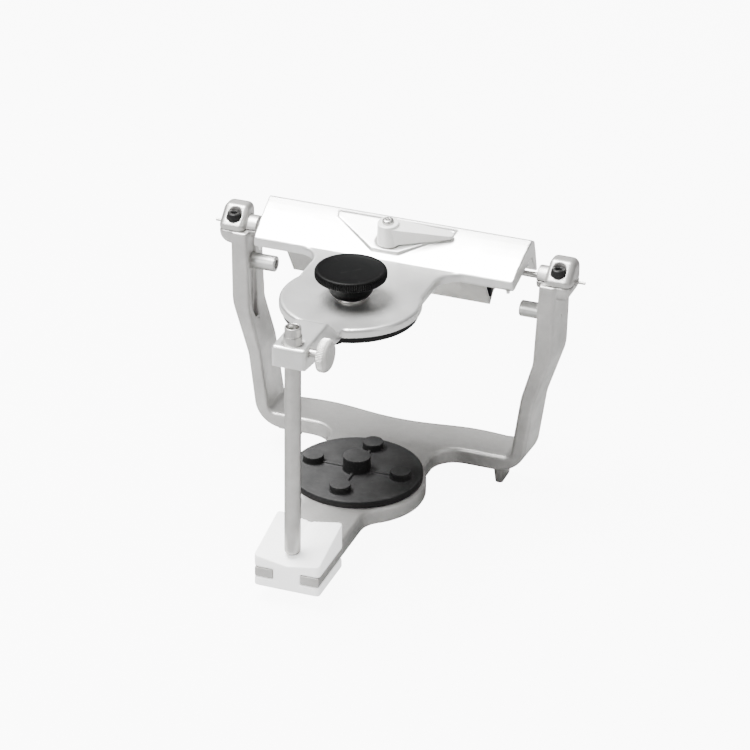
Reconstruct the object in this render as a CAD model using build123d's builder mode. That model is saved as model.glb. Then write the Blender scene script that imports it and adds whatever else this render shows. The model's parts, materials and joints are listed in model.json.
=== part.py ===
from build123d import *
import math
import os

# Average-value dental articulator. Millimetres, +Z up, front towards -Y.
# The origin is on the floor, under the middle of the whole object.
os.makedirs("parts", exist_ok=True)

# ---------------------------------------------------------------- driving dimensions
AXIS_Y = 69.1  # condylar axis, behind the origin
AXIS_Z = 120.7  # condylar axis, above the floor
FRONT_Y = AXIS_Y - 151.7  # front face of the incisal table and of the fork
CONDYLE_X = 50.0  # ball centre, each side of the middle plane
PATH_DEG = 30.0  # slope of the condylar path
PROTRUSION = 4.0  # travel of a ball along the path

BAR_BOTTOM = 12.5
BAR_TOP = 21.0
PLATE_Y = AXIS_Y - 55.9  # centre of the lower plate carrier
CARRIER_R = 35.0
TONGUE_HALF = 16.6
FORK_SLOT_HALF = 7.0
FORK_BOTTOM = 12.2
FORK_TOP = 17.9
FORK_BACK_Y = AXIS_Y - 119.4
FOOT_X = 57.0
FOOT_Y = AXIS_Y + 4.8
FRONT_FOOT_Y = AXIS_Y - 105.0

POST_FRONT_Y = AXIS_Y - 11.0
POST_BACK_Y = AXIS_Y + 12.0
HEAD_IN = 80.0  # inner face of the clamp head
HEAD_OUT = 93.6
HEAD_FRONT_Y = AXIS_Y - 9.8
HEAD_BACK_Y = AXIS_Y + 8.5
HEAD_TOP = AXIS_Z + 11.0
HEAD_BOTTOM = AXIS_Z - 8.2
HEAD_BOSS_R = 5.75
HEAD_BOSS_IN = 74.6
CAP_SCREW_X = 86.2
CAP_SCREW_Y = AXIS_Y - 5.8
CAP_SCREW_HEAD_TOP = AXIS_Z + 8.6
CAP_SCREW_R = 2.0
CAP_SCREW_LENGTH = 12.0
SOCKET_HEX = 3.0  # across flats
DOWEL_R = 1.5

SHAFT_R = 1.5
SHAFT_END = HEAD_OUT  # the face-bow pin starts here
PIN_END = 98.5
FACEBOW_PIN_R = 0.75
BALL_R = 5.0
BALL_HALF = 4.5
RUNNING = 0.03  # radial clearance of a running fit

SLEEVE_Z = AXIS_Z - 19.5
SLEEVE_IN = 65.5
SLEEVE_SEAT = 79.0
SLEEVE_R = 4.1
SLEEVE_BORE_R = 2.3
SLEEVE_SCREW_RECESS = 3.0
SLEEVE_SCREW_END = 84.0

MOUNT_R = 33.35
MOUNT_T = 3.7
BOSS_PITCH_R = 23.3
BOSS_R = 5.3
BOSS_H = 4.0
HUB_R = 7.0
HUB_H = 7.9
RIB_WIDTH = 1.4
RIB_H = 1.1
INSERT_R = 5.0
INSERT_H = 7.0
STUD_R = 3.0
STUD_CLEAR = 0.08
DOWEL_PITCH_R = 27.0
DOWEL_DEPTH = 2.5

TABLE_HALF = 17.0
TABLE_BACK_Y = AXIS_Y - 119.5
TABLE_BOTTOM = 7.5
TABLE_FRONT_TOP = 21.3  # top surface at the front edge, in the middle
TABLE_RISE_DEG = 13.5
TABLE_WING_DEG = 10.0
TABLE_GAP = 0.1  # sliding clearance on each face of the fork

UPPER_TOP = AXIS_Z + 5.7
UPPER_T = 4.7
UPPER_PLATE_Y = AXIS_Y - 66.8
UPPER_NECK_HALF = 32.5
WING_FRONT_Y = AXIS_Y - 23.3
BEAM_HALF_BACK = 69.9
BEAM_HALF_FRONT = 68.4
CHANNEL_HALF = 52.5
CHANNEL_WALL = 1.6
INSERT_IN = 41.0

PIN_Y = AXIS_Y - 143.3
PIN_R = 4.0
PIN_TIP_Z = 24.0
PIN_TOP_Z = 147.0
BLOCK_HALF = 8.6
BLOCK_FRONT_Y = AXIS_Y - 149.6
BLOCK_TOP = AXIS_Z + 17.8
PIN_SCREW_Z = AXIS_Z + 14.2

PIN_SCREW_R = 2.0
COLLAR_R = 4.9
COLLAR_DEPTH = 1.2

SEAT_DEG = 8.5  # tilt of the latch spindle's foot plane, lower at the front
SEAT_Y = AXIS_Y - 14.0
SEAT_Z = AXIS_Z + 15.4
PAD_DEG = 22.0  # tilt of the raised pad the lever lies over
PAD_Z = AXIS_Z + 12.3
SPOT_FACE = -4.6  # spot face for the lever's hub, from the foot plane
SPOT_FACE_R = 6.7
LEVER_ANGLE = 15.0
LEVER_LENGTH = 30.0
CRANK_RADIUS = 3.0
CRANK_PIN_R = 1.5
SPINDLE_R = 2.5
LATCH_TOP = -15.4  # latch bar's upper face, from the seat
LATCH_T = 1.6

SEAM_GAP = 0.15  # each half of the head stands off the seam
LOWER_KNOB_R = 13.5
LOWER_KNOB_BOTTOM = 1.5  # clear of the bench
KNOB_GAP = 0.3  # lower knob to carrier
WASHER_T = 1.2
UPPER_UNDER = UPPER_TOP - UPPER_T  # seat of the upper mounting plate
KNOB_FOOT = UPPER_TOP + WASHER_T
RIM_TOP = AXIS_Z + 21.2  # top of the upper knob
CHANNEL_SCREW = (25.0, AXIS_Y + 1.0)  # x and y of the right-hand screw
CHANNEL_FLOOR = AXIS_Z - 10.0
CAVITY_R = BALL_R + 0.3  # socket round a ball
LEVER_FOOT = 0.6  # lever underside, from the foot plane
LEVER_TOP = 7.4  # from the foot plane
HUB_FOOT = SPOT_FACE + 0.5
LEVER_HUB_R = 6.1
SLOT_PLAY = 0.35  # crank pin in the latch bar
PIN_SCREW_HEAD_X = 13.6  # inner face of the thumb screw head

# ---------------------------------------------------------------- derived values
SEAT = Plane(
    origin=(0, SEAT_Y, SEAT_Z),
    x_dir=(1, 0, 0),
    z_dir=(0, -math.sin(math.radians(SEAT_DEG)), math.cos(math.radians(SEAT_DEG))),
)
PAD = Plane(
    origin=(0, SEAT_Y, PAD_Z),
    x_dir=(1, 0, 0),
    z_dir=(0, -math.sin(math.radians(PAD_DEG)), math.cos(math.radians(PAD_DEG))),
)
CRANK_OFFSET = CRANK_RADIUS * math.sin(math.radians(45))


def xz_plane(y):
    """Vertical plane across the object at depth y: local x is X, local y is Z."""
    return Plane.XZ.offset(-y)


def yz_plane(x):
    """Vertical plane along the object at offset x: local x is Y, local y is Z."""
    return Plane.YZ.offset(x)


def save(builder, label):
    """Label a finished piece and write it as its own STEP file."""
    builder.part.label = label
    export_step(builder.part, f"parts/{label}.step")


def save_pair(builder, label):
    """Write the right-hand piece as it stands, and its mirror image as the left one."""
    save(builder, f"{label}_right")
    with BuildPart() as left:
        mirror(builder.part, about=Plane.YZ)
    save(left, f"{label}_left")


def about_axis(points):
    """Turn (y, z) offsets from the condylar axis into places in the object's frame."""
    return [(AXIS_Y + y, AXIS_Z + z) for y, z in points]


# ---------------------------------------------------------------- clamp head (blank for both halves)
with BuildPart() as head_blank:
    with BuildSketch(yz_plane(HEAD_IN)):
        with BuildLine():
            Polyline(
                (HEAD_FRONT_Y, HEAD_BOTTOM),
                (HEAD_FRONT_Y, AXIS_Z + 3.0),
                (AXIS_Y - 1.5, HEAD_TOP),
                (HEAD_BACK_Y, HEAD_TOP),
                (HEAD_BACK_Y, HEAD_BOTTOM),
                close=True,
            )
        make_face()
    extrude(amount=HEAD_OUT - HEAD_IN)
    fillet(head_blank.faces().sort_by(Axis.X)[-1].edges().sort_by(Axis.Z)[0], 6.5)
    fillet(head_blank.edges().filter_by(Axis.X).group_by(Axis.Z)[-1].sort_by(Axis.Y)[-1], 5.0)
    fillet(head_blank.edges().filter_by(Axis.X).group_by(Axis.Z)[-1].sort_by(Axis.Y)[0], 3.0)
    fillet(head_blank.faces().sort_by(Axis.X)[-1].edges().filter_by(lambda e: e.center().Z > AXIS_Z), 3.6)
    fillet(head_blank.faces().sort_by(Axis.X)[0].edges().filter_by(lambda e: e.center().Z > AXIS_Z + 4), 2.8)
    with BuildSketch(yz_plane(HEAD_BOSS_IN)):
        with Locations((AXIS_Y, AXIS_Z)):
            Circle(HEAD_BOSS_R)
    extrude(amount=HEAD_IN - HEAD_BOSS_IN + 1.0)
    with BuildSketch(yz_plane(HEAD_BOSS_IN - 1.0)):
        with Locations((AXIS_Y, AXIS_Z)):
            Circle(SHAFT_R)
    extrude(amount=SHAFT_END - HEAD_BOSS_IN + 1.0, mode=Mode.SUBTRACT)
    with BuildSketch(Plane.XY.offset(CAP_SCREW_HEAD_TOP - CAP_SCREW_LENGTH - 4.0)):
        with Locations((CAP_SCREW_X, CAP_SCREW_Y)):
            Circle(CAP_SCREW_R)
    extrude(amount=CAP_SCREW_LENGTH, mode=Mode.SUBTRACT)
    with BuildSketch(Plane.XY.offset(CAP_SCREW_HEAD_TOP - 4.0)):
        with Locations((CAP_SCREW_X, CAP_SCREW_Y)):
            Circle(3.75)
    extrude(amount=20.0, mode=Mode.SUBTRACT)
    with BuildSketch(Plane.XY.offset(AXIS_Z - 4.0)):
        with Locations((CAP_SCREW_X, AXIS_Y + 6.0)):
            Circle(DOWEL_R)
    extrude(amount=8.0, mode=Mode.SUBTRACT)

SEAM = Plane.XY.offset(AXIS_Z)

# ---------------------------------------------------------------- clamp caps
with BuildPart() as clamp_cap:
    add(head_blank.part)
    split(bisect_by=SEAM.offset(SEAM_GAP), keep=Keep.TOP)
save_pair(clamp_cap, "clamp_cap")

# ---------------------------------------------------------------- lower frame
with BuildPart() as lower_frame:
    with BuildSketch(Plane.XY.offset(BAR_BOTTOM)) as lower_plan:
        with BuildLine():
            Spline((0, AXIS_Y + 9.2), (39, AXIS_Y + 13.4), (60, POST_BACK_Y), tangents=((1, 0), (1, -0.12)))
            Polyline((60, POST_BACK_Y), (60, POST_FRONT_Y), (0, POST_FRONT_Y), (0, AXIS_Y + 9.2))
        make_face()
        with BuildLine():
            Polyline((0, AXIS_Y), (28, AXIS_Y), (28, PLATE_Y), (0, PLATE_Y), close=True)
        make_face()
        with BuildLine():
            Polyline((0, PLATE_Y), (TONGUE_HALF, PLATE_Y), (TONGUE_HALF, FRONT_Y), (0, FRONT_Y), close=True)
        make_face()
        with BuildLine():
            CenterArc((0, PLATE_Y), CARRIER_R, -90, 180)
            Line((0, PLATE_Y + CARRIER_R), (0, PLATE_Y - CARRIER_R))
        make_face()
        inner_corner = lower_plan.vertices().sort_by_distance((28, POST_FRONT_Y, BAR_BOTTOM))[0]
        fillet(inner_corner, 13)
        waist = math.sqrt(CARRIER_R**2 - TONGUE_HALF**2)
        tongue_corner = lower_plan.vertices().sort_by_distance(
            (TONGUE_HALF, PLATE_Y - waist, BAR_BOTTOM)
        )[0]
        fillet(tongue_corner, 12)
    extrude(amount=BAR_TOP - BAR_BOTTOM)
    rim = lower_frame.edges().filter_by(lambda e: 0.5 < e.center().X < 59.5)
    fillet(rim.filter_by(lambda e: abs(e.center().Z - BAR_TOP) < 0.01), 1.6)
    # fork: thinned tongue with an open slot that carries the incisal table
    with BuildSketch(Plane.XY.offset(FORK_TOP)):
        with Locations((0, (FORK_BACK_Y + FRONT_Y) / 2 - 5)):
            Rectangle(60, FORK_BACK_Y - FRONT_Y + 10)
    extrude(amount=10, mode=Mode.SUBTRACT)
    with BuildSketch(Plane.XY.offset(FORK_BOTTOM)):
        with Locations((0, (FORK_BACK_Y + FRONT_Y) / 2 - 5)):
            Rectangle(60, FORK_BACK_Y - FRONT_Y + 10)
    extrude(amount=-10, mode=Mode.SUBTRACT)
    with BuildSketch(Plane.XY.offset(FORK_BOTTOM - 1)):
        with Locations((0, (FORK_BACK_Y + FRONT_Y) / 2 - 5)):
            Rectangle(2 * FORK_SLOT_HALF, FORK_BACK_Y - FRONT_Y + 10)
    extrude(amount=20, mode=Mode.SUBTRACT)
    # post: front and back outlines of the same form, the back one wider outwards
    for post_y, spread, inset in ((POST_FRONT_Y, 0.0, 1.0), (POST_BACK_Y, 1.8, 0.0)):
        with BuildSketch(xz_plane(post_y)):
            with BuildLine():
                FilletPolyline(
                    (58, BAR_BOTTOM),
                    (71.8 + spread * 0.6, BAR_BOTTOM),
                    (76.9 + spread * 0.8, AXIS_Z - 68.0),
                    (85.6 + spread, AXIS_Z - 39.5),
                    (86.2 + spread, AXIS_Z),
                    (78.6 - inset, AXIS_Z),
                    (76.6 - inset, AXIS_Z - 44.5),
                    (70.6 - inset * 0.6, AXIS_Z - 65.0),
                    (65.4, BAR_TOP),
                    (58, BAR_TOP),
                    close=True,
                    radius=[0, 15, 26, 26, 0, 0, 18, 22, 4, 0],
                )
            make_face()
    loft()
    fillet(
        lower_frame.edges().filter_by(
            lambda e: e.center().X > 65
            and abs(e.center().Y - POST_FRONT_Y) < 0.01
            and AXIS_Z - 88 < e.center().Z < AXIS_Z - 2
            and e.length > 3
        ),
        1.5,
    )
    fillet(
        lower_frame.edges().filter_by(
            lambda e: e.center().X > 81
            and abs(e.center().Y - POST_BACK_Y) < 0.01
            and AXIS_Z - 60 < e.center().Z < AXIS_Z - 2
            and e.length > 3
        ),
        3.0,
    )
    # belly and upper half of the head, cut flat at the seam
    add(head_blank.part)
    split(bisect_by=SEAM.offset(-SEAM_GAP), keep=Keep.BOTTOM)
    # groove down the inner face of the post
    with BuildSketch(yz_plane(HEAD_BOSS_IN + 0.1)):
        with BuildLine():
            Polyline(
                *about_axis([(-7.5, -6.5), (1.5, -6.5), (1.5, -42), (-2.5, -55), (-7.5, -42)]),
                close=True,
            )
        make_face()
    extrude(amount=4.1, mode=Mode.SUBTRACT)
    # shaft, screw, dowel and sleeve bores that reach below the head blank
    with BuildSketch(yz_plane(HEAD_BOSS_IN - 1)):
        with Locations((AXIS_Y, AXIS_Z)):
            Circle(SHAFT_R)
    extrude(amount=SHAFT_END - HEAD_BOSS_IN + 1, mode=Mode.SUBTRACT)
    with BuildSketch(Plane.XY.offset(CAP_SCREW_HEAD_TOP - CAP_SCREW_LENGTH - 4.0)):
        with Locations((CAP_SCREW_X, CAP_SCREW_Y)):
            Circle(CAP_SCREW_R)
    extrude(amount=CAP_SCREW_LENGTH, mode=Mode.SUBTRACT)
    with BuildSketch(Plane.XY.offset(AXIS_Z - 4.0)):
        with Locations((CAP_SCREW_X, AXIS_Y + 6.0)):
            Circle(DOWEL_R)
    extrude(amount=8.0, mode=Mode.SUBTRACT)
    for start, end, radius in (
        (SLEEVE_IN, SLEEVE_SEAT, SLEEVE_R),
        (SLEEVE_SEAT, SLEEVE_SCREW_END, SLEEVE_BORE_R),
        (SLEEVE_SCREW_END, HEAD_OUT, 0.6),
    ):
        with BuildSketch(yz_plane(start)):
            with Locations((AXIS_Y, SLEEVE_Z)):
                Circle(radius)
        extrude(amount=end - start, mode=Mode.SUBTRACT)
    # rear foot, tapered towards the floor
    with BuildSketch(Plane.XY.offset(BAR_BOTTOM + 1)):
        with Locations((FOOT_X, FOOT_Y)):
            RectangleRounded(7.0, 15.0, 1.5)
    with BuildSketch(Plane.XY):
        with Locations((FOOT_X, FOOT_Y)):
            RectangleRounded(4.2, 13.0, 1.5)
    loft()
    mirror(about=Plane.YZ)
    # front foot, under the tongue
    with BuildSketch(Plane.XY.offset(BAR_BOTTOM + 1)):
        with Locations((0, FRONT_FOOT_Y)):
            RectangleRounded(12.0, 9.0, 2.0)
    with BuildSketch(Plane.XY):
        with Locations((0, FRONT_FOOT_Y)):
            RectangleRounded(10.0, 7.0, 2.0)
    loft()
    # knob stud and plate dowels
    with Locations((0, PLATE_Y, BAR_TOP)):
        Hole(STUD_R + 0.3)
    with BuildSketch(Plane.XY.offset(BAR_TOP)):
        with Locations((0, PLATE_Y)):
            with PolarLocations(DOWEL_PITCH_R, 2, 45):
                Circle(DOWEL_R)
    extrude(amount=-DOWEL_DEPTH, mode=Mode.SUBTRACT)
save(lower_frame, "lower_frame")

# ---------------------------------------------------------------- clamp screws and dowels
with BuildPart() as cap_screws:
    with BuildSketch(Plane.XY.offset(CAP_SCREW_HEAD_TOP - CAP_SCREW_LENGTH - 4.0)):
        with Locations((CAP_SCREW_X, CAP_SCREW_Y)):
            Circle(CAP_SCREW_R)
    extrude(amount=CAP_SCREW_LENGTH)
    with BuildSketch(Plane.XY.offset(CAP_SCREW_HEAD_TOP - 4.0)):
        with Locations((CAP_SCREW_X, CAP_SCREW_Y)):
            Circle(3.5)
    extrude(amount=4.0)
    fillet(cap_screws.faces().sort_by(Axis.Z)[-1].edges(), 0.4)
    with BuildSketch(Plane.XY.offset(CAP_SCREW_HEAD_TOP)):
        with Locations((CAP_SCREW_X, CAP_SCREW_Y)):
            RegularPolygon(SOCKET_HEX / 2, 6, major_radius=False)
    extrude(amount=-2.2, mode=Mode.SUBTRACT)
    mirror(about=Plane.YZ)
save(cap_screws, "cap_screws")

with BuildPart() as cap_dowels:
    with BuildSketch(Plane.XY.offset(AXIS_Z - 4.0)):
        with Locations((CAP_SCREW_X, AXIS_Y + 6.0), (-CAP_SCREW_X, AXIS_Y + 6.0)):
            Circle(DOWEL_R)
    extrude(amount=8.0)
save(cap_dowels, "cap_dowels")

# ---------------------------------------------------------------- condylar shaft and ball
with BuildPart() as condylar_shaft:
    with BuildSketch(xz_plane(AXIS_Y)):
        with BuildLine():
            Polyline(
                (CONDYLE_X - BALL_HALF - 1.2, AXIS_Z),
                (CONDYLE_X - BALL_HALF - 1.2, AXIS_Z + 2.2),
                (CONDYLE_X - BALL_HALF - 0.1, AXIS_Z + 2.2),
                (CONDYLE_X - BALL_HALF - 0.1, AXIS_Z + SHAFT_R),
                (CONDYLE_X + BALL_HALF + 0.1, AXIS_Z + SHAFT_R),
                (CONDYLE_X + BALL_HALF + 0.1, AXIS_Z + 2.2),
                (CONDYLE_X + BALL_HALF + 1.2, AXIS_Z + 2.2),
                (CONDYLE_X + BALL_HALF + 1.2, AXIS_Z + SHAFT_R),
                (SHAFT_END, AXIS_Z + SHAFT_R),
                (SHAFT_END, AXIS_Z + FACEBOW_PIN_R),
                (PIN_END - 0.3, AXIS_Z + FACEBOW_PIN_R),
                (PIN_END, AXIS_Z + FACEBOW_PIN_R - 0.3),
                (PIN_END, AXIS_Z),
                close=True,
            )
        make_face()
    revolve(axis=Axis((0, AXIS_Y, AXIS_Z), (1, 0, 0)))
save_pair(condylar_shaft, "condylar_shaft")

with BuildPart() as condyle_ball:
    with BuildSketch(xz_plane(AXIS_Y)):
        with Locations((CONDYLE_X, AXIS_Z)):
            Circle(BALL_R)
            Rectangle(2 * BALL_HALF, 4 * BALL_R, mode=Mode.INTERSECT)
        with Locations((CONDYLE_X, AXIS_Z - 2 * BALL_R + SHAFT_R + RUNNING)):
            Rectangle(4 * BALL_R, 4 * BALL_R, mode=Mode.SUBTRACT)
    revolve(axis=Axis((0, AXIS_Y, AXIS_Z), (1, 0, 0)))
save_pair(condyle_ball, "condyle_ball")

# ---------------------------------------------------------------- stop sleeves
with BuildPart() as stop_sleeve:
    with BuildSketch(yz_plane(SLEEVE_IN)):
        with Locations((AXIS_Y, SLEEVE_Z)):
            Circle(SLEEVE_R)
            Circle(SLEEVE_BORE_R, mode=Mode.SUBTRACT)
    extrude(amount=SLEEVE_SEAT - SLEEVE_IN)
    chamfer(stop_sleeve.faces().sort_by(Axis.X)[0].outer_wire().edges(), 0.4)
save_pair(stop_sleeve, "stop_sleeve")

with BuildPart() as sleeve_screws:
    with BuildSketch(yz_plane(SLEEVE_IN + SLEEVE_SCREW_RECESS)):
        with Locations((AXIS_Y, SLEEVE_Z)):
            Circle(SLEEVE_BORE_R)
            RegularPolygon(1.0, 6, major_radius=False, mode=Mode.SUBTRACT)
    extrude(amount=2.0)
    with BuildSketch(yz_plane(SLEEVE_IN + SLEEVE_SCREW_RECESS + 2.0)):
        with Locations((AXIS_Y, SLEEVE_Z)):
            Circle(SLEEVE_BORE_R)
    extrude(amount=SLEEVE_SCREW_END - SLEEVE_IN - SLEEVE_SCREW_RECESS - 2.0)
    mirror(about=Plane.YZ)
save(sleeve_screws, "sleeve_screws")

# ---------------------------------------------------------------- mounting plates
def build_mounting_plate(centre_y, face_z, up):
    """Round plate seated on face_z, its bosses pointing up (+1) or down (-1)."""
    outer = face_z + up * MOUNT_T
    with BuildPart() as plate:
        with BuildSketch(Plane.XY.offset(face_z)):
            with Locations((0, centre_y)):
                Circle(MOUNT_R)
        extrude(amount=up * MOUNT_T)
        fillet(plate.edges().group_by(Axis.Z)[-1 if up > 0 else 0], 0.6)
        with BuildSketch(Plane.XY.offset(outer)):
            with Locations((0, centre_y)):
                Rectangle(2 * BOSS_PITCH_R, RIB_WIDTH)
                Rectangle(RIB_WIDTH, 2 * BOSS_PITCH_R)
        extrude(amount=up * RIB_H)
        with BuildSketch(Plane.XY.offset(outer)):
            with Locations((0, centre_y)):
                with PolarLocations(BOSS_PITCH_R, 4):
                    Circle(BOSS_R)
        extrude(amount=up * BOSS_H)
        with BuildSketch(Plane.XY.offset(outer)):
            with Locations((0, centre_y)):
                Circle(HUB_R)
        extrude(amount=up * HUB_H)
        with BuildSketch(Plane.XY.offset(face_z)):
            with Locations((0, centre_y)):
                Circle(INSERT_R)
        extrude(amount=up * INSERT_H, mode=Mode.SUBTRACT)
        with BuildSketch(Plane.XY.offset(face_z)):
            with Locations((0, centre_y)):
                with PolarLocations(DOWEL_PITCH_R, 2, 45):
                    Circle(DOWEL_R)
        extrude(amount=up * DOWEL_DEPTH, mode=Mode.SUBTRACT)
    return plate


def build_plate_insert(centre_y, face_z, up):
    """Threaded metal insert moulded into the hub of a mounting plate."""
    with BuildPart() as insert:
        with BuildSketch(Plane.XY.offset(face_z)):
            with Locations((0, centre_y)):
                Circle(INSERT_R)
                Circle(STUD_R + STUD_CLEAR, mode=Mode.SUBTRACT)
        extrude(amount=up * INSERT_H)
    return insert


def build_plate_dowels(centre_y, face_z):
    """Two dowels that stop a mounting plate turning, half in the frame, half in the plate."""
    with BuildPart() as dowels:
        with BuildSketch(Plane.XY.offset(face_z - DOWEL_DEPTH)):
            with Locations((0, centre_y)):
                with PolarLocations(DOWEL_PITCH_R, 2, 45):
                    Circle(DOWEL_R)
        extrude(amount=2 * DOWEL_DEPTH)
    return dowels


lower_plate = build_mounting_plate(PLATE_Y, BAR_TOP, 1)
save(lower_plate, "lower_mounting_plate")
save(build_plate_insert(PLATE_Y, BAR_TOP, 1), "lower_plate_insert")
save(build_plate_dowels(PLATE_Y, BAR_TOP), "lower_plate_dowels")

upper_plate = build_mounting_plate(UPPER_PLATE_Y, UPPER_UNDER, -1)
save(upper_plate, "upper_mounting_plate")
save(build_plate_insert(UPPER_PLATE_Y, UPPER_UNDER, -1), "upper_plate_insert")
save(build_plate_dowels(UPPER_PLATE_Y, UPPER_UNDER), "upper_plate_dowels")

# ---------------------------------------------------------------- plate knobs
with BuildPart() as lower_knob:
    with BuildSketch(Plane.XY.offset(LOWER_KNOB_BOTTOM)):
        with Locations((0, PLATE_Y)):
            Circle(LOWER_KNOB_R)
    extrude(amount=BAR_BOTTOM - KNOB_GAP - LOWER_KNOB_BOTTOM)
    fillet(lower_knob.edges().filter_by(GeomType.CIRCLE), 1.2)
    with BuildSketch(Plane.XY.offset(LOWER_KNOB_BOTTOM + 3)):
        with Locations((0, PLATE_Y)):
            Circle(STUD_R)
    extrude(amount=BAR_BOTTOM, mode=Mode.SUBTRACT)
    with BuildSketch(Plane.XY.offset(BAR_BOTTOM)):
        with Locations((0, PLATE_Y)):
            with PolarLocations(LOWER_KNOB_R + 1.6, 12):
                Circle(2.6)
    extrude(amount=-BAR_BOTTOM, mode=Mode.SUBTRACT)
save(lower_knob, "lower_knob")

with BuildPart() as lower_stud:
    with BuildSketch(Plane.XY.offset(LOWER_KNOB_BOTTOM + 3)):
        with Locations((0, PLATE_Y)):
            Circle(STUD_R)
    extrude(amount=BAR_TOP + INSERT_H - 1 - LOWER_KNOB_BOTTOM - 3)
    chamfer(lower_stud.edges().group_by(Axis.Z)[-1], 0.6)
save(lower_stud, "lower_stud")

with BuildPart() as upper_knob:
    with BuildSketch(xz_plane(UPPER_PLATE_Y)):
        with BuildLine():
            Polyline(
                (0, RIM_TOP - 1.8),
                (0, KNOB_FOOT + 8.0),
                (STUD_R, KNOB_FOOT + 8.0),
                (STUD_R, KNOB_FOOT),
                (8.0, KNOB_FOOT),
                (9.8, KNOB_FOOT + 1.4),
                (11.4, KNOB_FOOT + 4.6),
                (12.6, KNOB_FOOT + 7.6),
                (16.8, RIM_TOP - 5.0),
                (17.8, RIM_TOP - 4.2),
                (17.8, RIM_TOP - 1.2),
                (16.6, RIM_TOP),
                (15.6, RIM_TOP),
                (14.2, RIM_TOP - 0.7),
                (7.0, RIM_TOP - 1.6),
                close=True,
            )
        make_face()
    revolve(axis=Axis((0, UPPER_PLATE_Y, 0), (0, 0, 1)))
save(upper_knob, "upper_knob")

with BuildPart() as upper_stud:
    with BuildSketch(Plane.XY.offset(UPPER_UNDER - INSERT_H + 1)):
        with Locations((0, UPPER_PLATE_Y)):
            Circle(STUD_R)
    extrude(amount=KNOB_FOOT + 8 - UPPER_UNDER + INSERT_H - 1)
    chamfer(upper_stud.edges().group_by(Axis.Z)[0], 0.6)
save(upper_stud, "upper_stud")

with BuildPart() as knob_washer:
    with BuildSketch(Plane.XY.offset(UPPER_TOP)):
        with Locations((0, UPPER_PLATE_Y)):
            Circle(7.6)
            Circle(STUD_R + 0.3, mode=Mode.SUBTRACT)
    extrude(amount=WASHER_T - 0.1)
save(knob_washer, "knob_washer")

# ---------------------------------------------------------------- incisal table
rise = math.tan(math.radians(TABLE_RISE_DEG))
wing = math.tan(math.radians(TABLE_WING_DEG))
table_length = TABLE_BACK_Y - FRONT_Y

with BuildPart() as incisal_table:
    with BuildSketch(Plane.XY.offset(TABLE_BOTTOM)):
        with Locations((0, (FRONT_Y + TABLE_BACK_Y) / 2)):
            RectangleRounded(2 * TABLE_HALF, table_length, 2.0)
    extrude(amount=32.0)
    for side in (1, -1):
        valley = Plane(
            origin=(0, FRONT_Y, TABLE_FRONT_TOP),
            x_dir=(side, 0, wing),
            z_dir=Vector(-side * wing, -rise, 1).normalized(),
        )
        with BuildSketch(valley):
            with Locations((20, 0)):
                Rectangle(40.0, 100.0)
        extrude(amount=40.0, mode=Mode.SUBTRACT)
    with BuildSketch(Plane.XY.offset(FORK_BOTTOM - TABLE_GAP)):
        with Locations((0, (FRONT_Y + TABLE_BACK_Y) / 2)):
            Rectangle(50.0, table_length + 10)
            Rectangle(2 * (FORK_SLOT_HALF - TABLE_GAP), table_length + 20, mode=Mode.SUBTRACT)
    extrude(amount=FORK_TOP - FORK_BOTTOM + 2 * TABLE_GAP, mode=Mode.SUBTRACT)
save(incisal_table, "incisal_table")

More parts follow.
